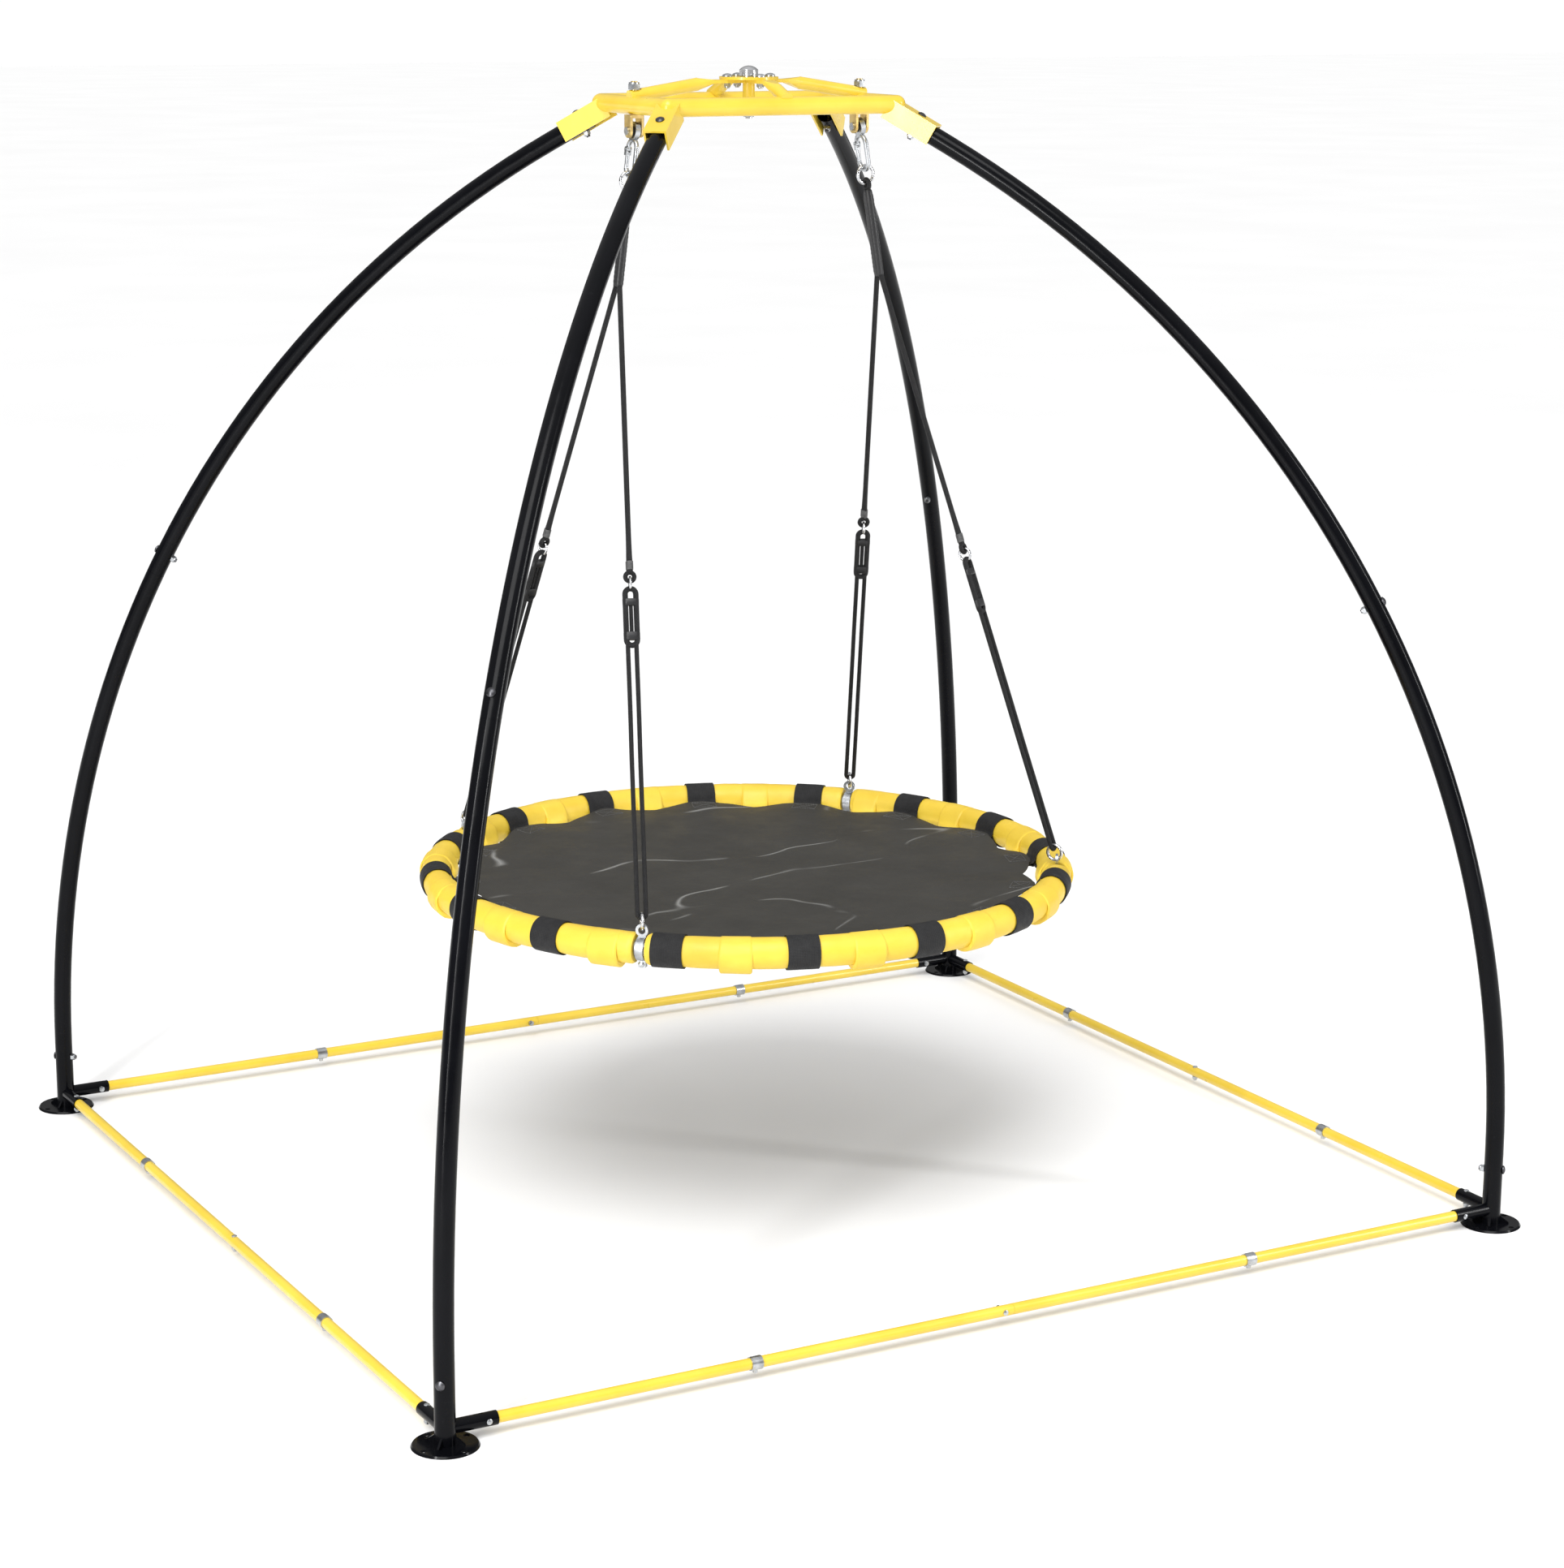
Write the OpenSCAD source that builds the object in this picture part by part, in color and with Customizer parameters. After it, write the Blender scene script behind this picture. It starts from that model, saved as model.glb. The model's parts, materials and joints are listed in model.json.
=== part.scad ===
// Saucer swing hung in a four-legged dome frame.
// Origin at the centre of the base, on the ground. +Z is up. The swing hangs from two hangers on the X axis.

/* [Frame] */
// Half distance between the foot posts along X
base_half_x = 862; // [820:1:900]
// Half distance between the foot posts along Y
base_half_y = 781; // [740:1:820]
// Outer diameter of posts and legs
leg_d = 28; // [26:0.5:32]
// Wall thickness of posts and legs
leg_wall = 1.6; // [1.2:0.1:2]
// Radius that the legs are bent to
leg_bend_r = 1700; // [1650:5:1750]
// Turn of the bend, from upright at the foot
leg_turn = 60.8; // [58:0.1:62]
// Height of the foot post
post_h = 112; // [100:1:130]
// Height of the edge where upper and lower leg meet
leg_joint_z = 910; // [800:1:1000]
// Diameter of the foot plate
foot_d = 90; // [80:1:110]

/* [Ground rails] */
// Outer diameter of the ground rails
rail_d = 16; // [14:0.5:18]
// Outer diameter of the rail stubs on the feet
stub_d = 19.4; // [18.5:0.1:22]
// Length of a stub from the post's centre
stub_reach = 72; // [65:1:90]
// Height of the rails' centre line
rail_z = 24; // [20:1:40]

/* [Hub] */
// Half length of the hub ring along X, to its tube's centre
ring_half_x = 190; // [180:1:200]
// Height of the hub ring's centre line
ring_z = 1654; // [1640:1:1670]
// Outer diameter of the hub ring's tube
ring_tube_d = 27; // [25:0.5:30]
// Outer diameter of the arms across the hub
arm_d = 19; // [16:0.5:22]

/* [Swing] */
// Height of the hanger pins, the axis that the swing turns about
pin_z = 1617; // [1610:1:1620]
// Radius of the saucer's rim, to its tube's centre
rim_r = 482; // [460:1:500]
// Height of the rim's centre line
rim_z = 482; // [460:1:520]
// Diameter of the foam on the rim
foam_d = 46; // [42:0.5:50]
// Diameter of the rim's steel tube
rim_tube_d = 25.4; // [22:0.2:28]
// Number of straps that hold the mat
strap_n = 16; // [12:1:20]
// Width of a mat strap
strap_w = 47; // [40:1:50]
// Diameter of the mat
mat_d = 896; // [880:1:900]
// Outward lean of the hook on the -X side
lean_left = 7.1; // [5:0.1:10]
// Outward lean of the hook on the +X side
lean_right = 9.6; // [5:0.1:10]

/* [Hidden] */
FEET = ["front", "right", "back", "left"];
ROPES = ["a", "b", "c", "d"];
RAILS = ["front_right", "back_left", "front_left", "back_right"];

BLACK = "#1c1c22";
YELLOW = "#f2cf2e";
ZINC = "#b9bdc2";
CHROME = "#d9dde2";
ROPE = "#17181a";
MAT = "#4d4c48";
STRAP = "#26262a";

$fn = 48;
arc_fn = 360;                          // pieces in a full turn of a long bend
weld = 1;                              // how far welded pieces run into each other
SX = [-1, 1, 1, -1];                   // which side of the frame each foot is on
SY = [-1, -1, 1, 1];
ring_half_y = base_half_y - base_half_x + ring_half_x;
leg_bore = leg_d - 2 * leg_wall;
swage_d = leg_bore - 0.4;              // a leg's reduced end, which slides into the next tube
swage_bore = swage_d - 2 * leg_wall;
plate_t = 3;

// Leg angles along the bend, measured from upright
leg_joint_a = asin((leg_joint_z - post_h) / leg_bend_r);
leg_bolt_a = asin((leg_joint_z + 30 - post_h) / leg_bend_r);
spigot_a = 60 / leg_bend_r * 180 / PI;
leg_end_len = 72;                      // straight end that sits in the hub's bracket
post_bolt_z = post_h - 25;
bolt_d = 6;
bolt_hole_d = 6.4;

// Hub bracket, a channel along the leg's straight end
bracket_start = 26;
bracket_len = 80;
bracket_t = 3;
bracket_in = leg_d + 0.6;
bracket_bolt = 56;

// Hub arms, which lie on the ring and rise to the middle
arm_z = ring_z + 13;
spot_z = arm_z + arm_d / 2 - 0.3;        // flat under a hanger's nut
tongue_z = 1684;
tongue_t = 5;
tongue_w = 21;
tongue_in = 8;
tongue_out = 62;
flat_from = 86;                        // where an arm starts to flatten
hub_plate_z = tongue_z + tongue_t;
hub_plate_t = 4;
hub_plate_d = 88;
hub_bolt_r = 36;
centre_tube_z = 1645;
centre_tube_d = 18;
stud_d = 10;

// Rails
rail_bolt_d = 5;
rail_bolt_at = 58;                     // from the post's centre
rail_wall = 1.2;
stub_bore = stub_d - 2 * 1.5;
rail_spigot = 30;
rail_x_half = base_half_x - 44;        // where a rail ends inside its stub
rail_y_half = base_half_y - 44;

// Hooks, in a frame whose origin is the pin and whose -Z runs along the hook
pin_d = 8;
bush_d = 14;
hook_wire = 7;
hook_half = 13.5;                      // half width of the hook's loop, to the wire's centre
hook_top = 13;                         // from the pin down to the loop's top
hook_bottom = 65.5;                    // from the pin down to the loop's bottom
gate_from = 27;
gate_to = 53.5;
ring_wire = 5;
ring_r = 13.5;
ring_at = hook_bottom - hook_wire / 2 - ring_wire / 2 - 0.1 + ring_r;
sleeve_d = 17;
sleeve_eye_at = ring_at + ring_r + 0.9;
split_z = 1396;                        // where a hanger's two ropes part
split_at = [(pin_z - split_z) / cos(lean_left), (pin_z - split_z) / cos(lean_right)];

// Ropes a and b hang from the left hanger, c and d from the right one
clamp_a = [-136.5, 131, 40.5, -34];    // where each rope's clamp sits on the rim
rope_side = [-1, -1, 1, 1];            // which hanger each rope hangs from
rope_y = [-1, 1, 1, -1];               // which side of the sleeve it leaves from
upper_rope_d = 8;
lower_rope_d = 7;
strand_y = 6.2;                        // half the distance between the two lower strands
link_at = 449;                         // from the split down to the link ring
link_r = 9;
link_wire = 4;
adjuster_len = 92;
adjuster_w = 24;
adjuster_t = 8;
rim_ring_r = 11.5;
lug_z = rim_z + 27;
lug_hole_r = 5.5;
rim_ring_up = 0.6;                     // from the lug's hole up to the rim ring's wire

// Rim
rim_bore = rim_tube_d - 3;
strap_t = 2;
strap_phase = 3.5;
collar_d = 54;
collar_drop = 3.5;
collar_w = 46;
collar_turn = collar_w / rim_r * 180 / PI;
foam_gap = 1.1;                        // degrees of bare tube each side of a clamp
mat_t = 1.5;
mat_z = rim_z - 3;
spigot_turn = 4.5;

// ---- placing helpers ----
function hook_x(s) = s * ring_half_x;
function lean(s) = s < 0 ? lean_left : lean_right;
function split(k) = [
    rope_side[k] * (ring_half_x + (pin_z - split_z) * tan(lean(rope_side[k]))),
    rope_y[k] * (upper_rope_d / 2 + 0.4), split_z];
function lug(k) = [rim_r * cos(clamp_a[k]), rim_r * sin(clamp_a[k]), lug_z];
function rope_len(k) = norm(split(k) - lug(k));

// Foot i at the origin, with +X pointing inwards to the frame's axis
module at_foot(i) {
    translate([SX[i] * base_half_x, SY[i] * base_half_y, 0])
        rotate([0, 0, atan2(-SY[i], -SX[i])])
            children();
}

// A point on the bend of the leg: +Z along the tube, +X towards the bend's centre
module on_bend(a) {
    translate([leg_bend_r * (1 - cos(a)), 0, post_h + leg_bend_r * sin(a)])
        rotate([0, a, 0])
            children();
}

// Round bar bent about the leg's centre, from angle a0 to angle a1
module bend(d, a0, a1) {
    translate([leg_bend_r, 0, post_h])
        rotate([90, 0, 0])
            rotate([0, 0, 180 - a1])
                rotate_extrude(angle = a1 - a0, $fn = arc_fn)
                    translate([leg_bend_r, 0])
                        circle(d = d);
}

module tube(d, bore, h) {
    difference() {
        cylinder(d = d, h = h);
        translate([0, 0, -1])
            cylinder(d = bore, h = h + 2);
    }
}

module x_cylinder(d, h, x = 0) {
    translate([x, 0, 0])
        rotate([0, 90, 0])
            cylinder(d = d, h = h);
}

module ring(r, wire) {
    rotate_extrude($fn = 96)
        translate([r, 0])
            circle(d = wire);
}

// Part of a ring about Z, centred on angle a
module arc_about_z(r, a, turn) {
    rotate([0, 0, a - turn / 2])
        rotate_extrude(angle = turn, $fn = arc_fn)
            translate([r, 0])
                children();
}

// Frame of a hook: origin at its pin, -Z along the hook as it hangs
module at_hook(s) {
    translate([hook_x(s), 0, pin_z])
        rotate([0, -s * lean(s), 0])
            children();
}

// Frame on rope k at distance down from the split: +Z up the rope
module on_rope(k, down) {
    u = (split(k) - lug(k)) / rope_len(k);
    translate(split(k) - u * down)
        rotate([0, acos(u[2]), atan2(u[1], u[0])])
            children();
}

// ---- fasteners ----
// Domed bolt along X: the head's seat is at x = 0 and the shank runs to +X
module x_bolt(d, len, head_d, head_h) {
    x_cylinder(d, len);
    intersection() {
        x_cylinder(head_d, head_h, -head_h);
        translate([head_d * 0.45, 0, 0])
            sphere(d = (head_d * 0.45 + head_h) * 2);
    }
}

// Hexagon nut with a collar, along X, with its seat at x = 0
module x_nut(d) {
    difference() {
        union() {
            rotate([0, 90, 0])
                cylinder(d = d * 1.9, h = d * 0.8, $fn = 6);
            x_cylinder(d * 1.55, d * 1.05);
        }
        x_cylinder(d + 0.1, d * 2, -d / 2);
    }
}

// ---- feet ----
module foot(i) color(BLACK) at_foot(i)
    difference() {
        union() {
            cylinder(d1 = foot_d, d2 = foot_d - 4, h = plate_t);
            cylinder(d = leg_d, h = post_h);
            for (a = [-45, 45])
                rotate([0, 0, a])
                    translate([0, 0, rail_z])
                        x_cylinder(stub_d, stub_reach);
            for (a = [0, 90, 180, 270])
                rotate([90, 0, a])
                    translate([0, 0, -1.5])
                        linear_extrude(3)
                            polygon([[leg_d / 2 - 1, 2], [leg_d / 2 + 13, 2],
                                [leg_d / 2 + 13, 5], [leg_d / 2 - 1, 15]]);
        }
        translate([0, 0, 8])
            cylinder(d = leg_bore, h = post_h);
        for (a = [-45, 45])
            rotate([0, 0, a])
                translate([0, 0, rail_z])
                    x_cylinder(stub_bore, stub_reach, 18);
        for (a = [62, 152, 242, 332])
            rotate([0, 0, a])
                translate([foot_d / 2 - 8.5, 0, -1])
                    cylinder(d = 8, h = plate_t + 2);
        translate([0, 0, post_bolt_z])
            x_cylinder(bolt_hole_d, leg_d + 8, -leg_d / 2 - 4);
        foot_rail_holes(i);
    }

// Rail bolts go sideways through the X rails and upright through the Y rails
module foot_rail_holes(i) {
    x_stub = SX[i] * SY[i] > 0 ? -45 : 45;
    rotate([0, 0, x_stub])
        translate([rail_bolt_at, 0, rail_z])
            rotate([90, 0, 0])
                cylinder(d = rail_bolt_d + 0.4, h = 40, center = true);
    rotate([0, 0, -x_stub])
        translate([rail_bolt_at, 0, rail_z])
            cylinder(d = rail_bolt_d + 0.4, h = 30, center = true);
}

// ---- legs ----
// Lower leg, with both ends reduced to slide into the post and the upper leg
module lower_leg(i) color(BLACK) at_foot(i)
    difference() {
        union() {
            bend(leg_d, 0, leg_joint_a - 0.01);
            bend(swage_d, 0, leg_joint_a + spigot_a);
            translate([0, 0, post_h - 50])
                cylinder(d = swage_d, h = 50);
        }
        bend(leg_bore, 1, leg_joint_a - 1);
        bend(swage_bore, 0, leg_joint_a + spigot_a + 1);
        translate([0, 0, post_h - 51])
            cylinder(d = swage_bore, h = 51);
        translate([0, 0, post_bolt_z])
            x_cylinder(bolt_hole_d, leg_d + 8, -leg_d / 2 - 4);
        on_bend(leg_bolt_a)
            x_cylinder(bolt_hole_d, leg_d + 8, -leg_d / 2 - 4);
    }

module upper_leg(i) color(BLACK) at_foot(i)
    difference() {
        union() {
            bend(leg_d, leg_joint_a, leg_turn);
            on_bend(leg_turn)
                cylinder(d = leg_d, h = leg_end_len);
        }
        bend(leg_bore, leg_joint_a - 1, leg_turn);
        on_bend(leg_turn)
            cylinder(d = leg_bore, h = leg_end_len + 1);
        on_bend(leg_bolt_a)
            x_cylinder(bolt_hole_d, leg_d + 8, -leg_d / 2 - 4);
        on_bend(leg_turn)
            translate([0, 0, bracket_bolt])
                x_cylinder(bolt_hole_d, leg_d + 8, -leg_d / 2 - 4);
    }

module leg_bolts() color(ZINC)
    for (i = [0:3])
        at_foot(i) {
            translate([-leg_d / 2, 0, post_bolt_z])
                x_bolt(bolt_d, leg_d + 8, 13, 4);
            on_bend(leg_bolt_a)
                translate([-leg_d / 2, 0, 0])
                    x_bolt(bolt_d, leg_d + 8, 13, 4);
            on_bend(leg_turn)
                translate([-bracket_in / 2 - bracket_t, 0, bracket_bolt])
                    x_bolt(bolt_d, leg_d + 12, 13, 4);
        }

module frame_nuts() color(ZINC) {
    for (i = [0:3])
        at_foot(i) {
            translate([leg_d / 2, 0, post_bolt_z])
                x_nut(bolt_d);
            on_bend(leg_bolt_a)
                translate([leg_d / 2, 0, 0])
                    x_nut(bolt_d);
            on_bend(leg_turn)
                translate([leg_d / 2, 0, bracket_bolt])
                    x_nut(bolt_d);
        }
    at_rail_bolts()
        translate([$out, 0, 0])
            x_nut(rail_bolt_d);
    at_hub_bolts()
        translate([tongue_t + hub_plate_t, 0, 0])
            x_nut(bolt_d);
    translate([0, 0, centre_tube_z])
        rotate([0, 90, 0])
            x_nut(stud_d);
}

// ---- ground rails ----
// Places children on each rail bolt's line: +X runs along the bolt to its nut, and
// $out is the radius of the tube that the bolt clamps
module at_rail_bolts() {
    for (s = [-1, 1], t = [-1, 1]) {
        translate([s * (base_half_x - rail_bolt_at), t * base_half_y, rail_z])
            rotate([0, 0, -90 * t])
                let ($out = stub_d / 2)
                    children();
        translate([s * base_half_x, t * (base_half_y - rail_bolt_at), rail_z])
            rotate([0, 90, 0])
                let ($out = stub_d / 2)
                    children();
    }
    for (t = [-1, 1]) {
        translate([-rail_spigot / 2, t * base_half_y, rail_z])
            rotate([0, 0, -90 * t])
                let ($out = rail_d / 2)
                    children();
        translate([t * base_half_x, -rail_spigot / 2, rail_z])
            rotate([0, 90, 0])
                let ($out = rail_d / 2)
                    children();
    }
}

// A rail along X from its stub to the middle; half 1 has the spigot's socket
module rail_half(half_len, half) {
    bore = rail_d - 2 * rail_wall;
    translate([0, 0, rail_z])
        if (half == 1)
            x_cylinder_tube(rail_d, bore, half_len - 0.2, -half_len);
        else {
            x_cylinder_tube(rail_d, bore, half_len - 0.2, 0.2);
            difference() {
                union() {
                    x_cylinder(bore - 0.4, rail_spigot + 6, -rail_spigot);
                    x_cylinder(bore + 0.2, 5, 0.8);
                }
                x_cylinder(bore - 3, rail_spigot * 2, -rail_spigot - 1);
            }
        }
}

module x_cylinder_tube(d, bore, h, x) {
    translate([x, 0, 0])
        rotate([0, 90, 0])
            tube(d, bore, h);
}

module rail_along_x(t, half) color(YELLOW)
    translate([0, t * base_half_y, 0])
        difference() {
            rail_half(rail_x_half, half);
            for (x = [-base_half_x + rail_bolt_at, -rail_spigot / 2, base_half_x - rail_bolt_at])
                translate([x, 0, rail_z])
                    rotate([90, 0, 0])
                        cylinder(d = rail_bolt_d + 0.4, h = 30, center = true);
        }

module rail_along_y(s, half) color(YELLOW)
    translate([s * base_half_x, 0, 0])
        difference() {
            rotate([0, 0, 90])
                rail_half(rail_y_half, half);
            for (y = [-base_half_y + rail_bolt_at, -rail_spigot / 2, base_half_y - rail_bolt_at])
                translate([0, y, rail_z])
                    cylinder(d = rail_bolt_d + 0.4, h = 30, center = true);
        }

module rail_bolts() color(ZINC)
    at_rail_bolts()
        translate([-$out, 0, 0])
            x_bolt(rail_bolt_d, 2 * $out + 7, 8, 2.5);

// Bands round the rails, halfway between each foot and the joint
module rail_bands() color(ZINC) {
    for (t = [-1, 1], s = [-1, 1]) {
        translate([s * rail_x_half / 2, t * base_half_y, rail_z])
            band();
        translate([t * base_half_x, s * rail_y_half / 2, rail_z])
            rotate([0, 0, 90])
                band();
    }
}

module band() {
    x_cylinder_tube(rail_d + 3, rail_d + 0.2, 17, -8.5);
    translate([0, 0, -rail_d / 2 - 1])
        mirror([0, 0, 1])
            cylinder(d = 7, h = 4);
}

// ---- hub ----
// Places children on each bolt of the hub plate, with +X running down from the plate's top
module at_hub_bolts() {
    for (a = [0, 90, 180, 270])
        rotate([0, 0, a])
            translate([hub_bolt_r, 0, hub_plate_z + hub_plate_t])
                rotate([0, 90, 0])
                    children();
}

module ring_sides(d) {
    for (s = [-1, 1]) {
        translate([-ring_half_x, s * ring_half_y, ring_z])
            x_cylinder(d, 2 * ring_half_x);
        translate([s * ring_half_x, -ring_half_y, ring_z])
            rotate([0, 0, 90])
                x_cylinder(d, 2 * ring_half_y);
        for (t = [-1, 1])
            translate([s * ring_half_x, t * ring_half_y, ring_z])
                sphere(d = d);
    }
}

// Arm from the middle of a ring side, at distance `out`, to its flattened inner end
module hub_arm(out) {
    slope = atan2(tongue_z + tongue_t / 2 - arm_z, out - tongue_out);
    translate([out, 0, arm_z])
        rotate([0, -90 + slope, 0]) {
            translate([0, 0, -8])
                cylinder(d = arm_d, h = 8 + (out - flat_from) / cos(slope));
        }
    hull() {
        translate([flat_from + 2 * weld, 0, arm_z + (out - flat_from - 2 * weld) * tan(slope)])
            rotate([0, -90 + slope, 0])
                cylinder(d = arm_d - 0.3, h = weld);
        translate([tongue_out - weld, -tongue_w / 2, tongue_z])
            cube([weld, tongue_w, tongue_t]);
    }
    translate([tongue_in, -tongue_w / 2, tongue_z])
        cube([tongue_out - tongue_in, tongue_w, tongue_t]);
}

module bracket() {
    difference() {
        translate([-bracket_in / 2 - bracket_t, -bracket_in / 2 - bracket_t, bracket_start])
            cube([leg_d / 2 + bracket_in / 2 + bracket_t, bracket_in + 2 * bracket_t, bracket_len]);
        translate([-bracket_in / 2, -bracket_in / 2, bracket_start - 1])
            cube([leg_d + bracket_t, bracket_in, bracket_len + 2]);
        translate([0, 0, bracket_bolt])
            x_cylinder(bolt_hole_d, 30, -30);
    }
}

module hub_ring() color(YELLOW)
    difference() {
        union() {
            ring_sides(ring_tube_d);
            for (i = [0:3])
                at_foot(i)
                    on_bend(leg_turn)
                        bracket();
            for (a = [0, 180])
                rotate([0, 0, a])
                    hub_arm(ring_half_x);
            for (a = [90, 270])
                rotate([0, 0, a])
                    hub_arm(ring_half_y);
            translate([0, 0, centre_tube_z])
                cylinder(d = centre_tube_d, h = hub_plate_z - centre_tube_z);
        }
        ring_sides(ring_tube_d - 4);
        for (s = [-1, 1])
            translate([hook_x(s), 0, ring_z - 30])
                cylinder(d = stud_d + 0.4, h = 80);
        for (s = [-1, 1])
            translate([hook_x(s), 0, spot_z])
                cylinder(d = 22, h = 20);
        translate([0, 0, centre_tube_z - 1])
            cylinder(d = stud_d + 0.4, h = 60);
        at_hub_bolts()
            x_cylinder(bolt_hole_d, 30, -5);
    }

module hub_plate() color(YELLOW)
    difference() {
        translate([0, 0, hub_plate_z])
            cylinder(d = hub_plate_d, h = hub_plate_t);
        translate([0, 0, hub_plate_z - 1])
            cylinder(d = stud_d + 0.4, h = hub_plate_t + 2);
        at_hub_bolts()
            x_cylinder(bolt_hole_d, 30, -5);
    }

module hub_plate_bolts() color(ZINC)
    at_hub_bolts()
        x_bolt(bolt_d, tongue_t + hub_plate_t + 8, 15, 5);

// Bolt through the middle of the hub, with a domed head
module hub_centre_bolt() color(CHROME) {
    translate([0, 0, centre_tube_z - 13])
        cylinder(d = stud_d, h = hub_plate_z + hub_plate_t + 14 - centre_tube_z);
    translate([0, 0, hub_plate_z + hub_plate_t])
        intersection() {
            cylinder(d = 28, h = 16);
            translate([0, 0, -3])
                sphere(d = 38);
        }
}

// ---- hangers ----
// Yoke under the ring, with two cheeks that hold the pin
cheek_gap = 14.2;
cheek_t = 4;
cheek_w = 20;
yoke_top = ring_z - ring_tube_d / 2 - 0.1;
yoke_t = 5;

module hanger(s) color(ZINC)
    translate([hook_x(s), 0, 0]) {
        translate([-cheek_gap / 2 - cheek_t, -cheek_w / 2, yoke_top - yoke_t])
            cube([cheek_gap + 2 * cheek_t, cheek_w, yoke_t]);
        translate([0, 0, yoke_top - 1])
            cylinder(d = stud_d, h = spot_z + 13 - yoke_top);
        for (x = [-cheek_gap / 2 - cheek_t, cheek_gap / 2])
            translate([x, 0, pin_z])
                difference() {
                    union() {
                        x_cylinder(cheek_w, cheek_t);
                        translate([0, -cheek_w / 2, 0])
                            cube([cheek_t, cheek_w, yoke_top - yoke_t / 2 - pin_z]);
                    }
                    x_cylinder(pin_d + 0.1, 20, -5);
                }
    }

module hanger_nuts() color(ZINC)
    for (s = [-1, 1])
        translate([hook_x(s), 0, spot_z])
            rotate([0, -90, 0])
                x_nut(stud_d);

module hanger_pins() color(ZINC)
    for (s = [-1, 1])
        translate([hook_x(s), 0, pin_z]) {
            x_cylinder(pin_d, cheek_gap + 2 * cheek_t + 2, -cheek_gap / 2 - cheek_t - 1);
            for (x = [-cheek_gap / 2 - cheek_t - 2.6, cheek_gap / 2 + cheek_t + 0.1])
                x_cylinder(12, 2.5, x);
        }

module hanger_bushings() color(BLACK)
    for (s = [-1, 1])
        translate([hook_x(s), 0, pin_z])
            difference() {
                x_cylinder(bush_d, cheek_gap - 0.6, -cheek_gap / 2 + 0.3);
                x_cylinder(pin_d + 0.1, 20, -10);
            }

// ---- snap hooks ----
module half_ring(r, wire) {
    rotate([0, 90, 0])
        rotate_extrude(angle = 180, $fn = 96)
            translate([r, 0])
                circle(d = wire);
}

module snap_hook(s) color(ZINC) at_hook(s) {
    top_c = -hook_top - hook_half;
    bottom_c = -hook_bottom + hook_half;
    difference() {
        union() {
            x_cylinder(27, 8, -4);
            translate([0, 0, top_c])
                rotate([90, 0, 0])
                    half_ring(hook_half, hook_wire);
            translate([0, 0, bottom_c])
                rotate([-90, 0, 0])
                    half_ring(hook_half, hook_wire);
            translate([0, -hook_half, bottom_c])
                cylinder(d = hook_wire, h = top_c - bottom_c);
            translate([0, hook_half, -gate_from])
                x_cylinder(hook_wire, hook_wire, -hook_wire / 2);
        }
        x_cylinder(bush_d + 1.4, 20, -10);
        translate([-10, hook_half - 6, -gate_to - 0.5])
            cube([20, 12, 12]);
        for (x = [-10, 2.2])
            translate([x, hook_half - 6, -gate_from - 5])
                cube([7.8, 12, 10]);
        translate([0, hook_half, -gate_from])
            x_cylinder(2.5, 20, -10);
    }
}

// Sprung gate that closes the open side of a hook, forked over the hook's flat end
module gate(s) color(ZINC) at_hook(s)
    translate([0, hook_half, -gate_from])
        difference() {
            union() {
                for (x = [-4.3, 2.4]) {
                    x_cylinder(8, 1.9, x);
                    translate([x, -3, -9])
                        cube([1.9, 6, 9]);
                }
                translate([-4.3, -3, -9])
                    cube([8.6, 6, 4]);
                translate([0, 0, gate_from - gate_to])
                    cylinder(d = 6, h = gate_to - gate_from - 6);
            }
            x_cylinder(2.6, 20, -10);
        }

module gate_pins() color(ZINC)
    for (s = [-1, 1])
        at_hook(s)
            translate([0, hook_half, -gate_from])
                x_cylinder(2.5, 10.4, -5.2);

module top_rings() color(CHROME)
    for (s = [-1, 1])
        at_hook(s)
            translate([0, 0, -ring_at])
                rotate([90, 0, 0])
                    ring(ring_r, ring_wire);

// Bound part of a hanger's two ropes, with the eye that holds the ring
module rope_sleeve(s) color(ROPE) at_hook(s) {
    sleeve_top = sleeve_eye_at + 9;
    translate([0, 0, -sleeve_eye_at])
        rotate([0, 90, 0])
            ring(7, 7);
    translate([0, 0, -sleeve_top - 10])
        cylinder(d1 = sleeve_d, d2 = 12, h = 10);
    translate([0, 0, -split_at[s < 0 ? 0 : 1]])
        cylinder(d = sleeve_d, h = split_at[s < 0 ? 0 : 1] - sleeve_top - 10);
}

// ---- ropes ----
eye_r = 6.5;
eye_z = link_r - link_wire / 2 - 0.1 + eye_r - lower_rope_d / 2;

module upper_rope(k) color(ROPE)
    on_rope(k, link_at) {
        translate([0, 0, eye_z])
            rotate([0, 90, 0])
                ring(eye_r, lower_rope_d);
        translate([0, 0, eye_z + eye_r + 1])
            cylinder(d = upper_rope_d, h = link_at - eye_z - eye_r - 4);
    }

module link_rings() color(CHROME)
    for (k = [0:3])
        on_rope(k, link_at)
            rotate([90, 0, 0])
                ring(link_r, link_wire);

adjuster_top = -3.4;
adjuster_hole_d = 8;
adjuster_hole_z = -9.7;

module rope_adjusters() color(BLACK)
    for (k = [0:3])
        on_rope(k, link_at)
            difference() {
                union() {
                    translate([0, 0, adjuster_top - adjuster_w / 2])
                        x_cylinder(adjuster_w, adjuster_t, -adjuster_t / 2);
                    translate([-adjuster_t / 2, -adjuster_w / 2, adjuster_top - adjuster_len])
                        cube([adjuster_t, adjuster_w, adjuster_len - adjuster_w / 2]);
                }
                translate([0, 0, adjuster_hole_z])
                    x_cylinder(adjuster_hole_d, 20, -10);
            }

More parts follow.
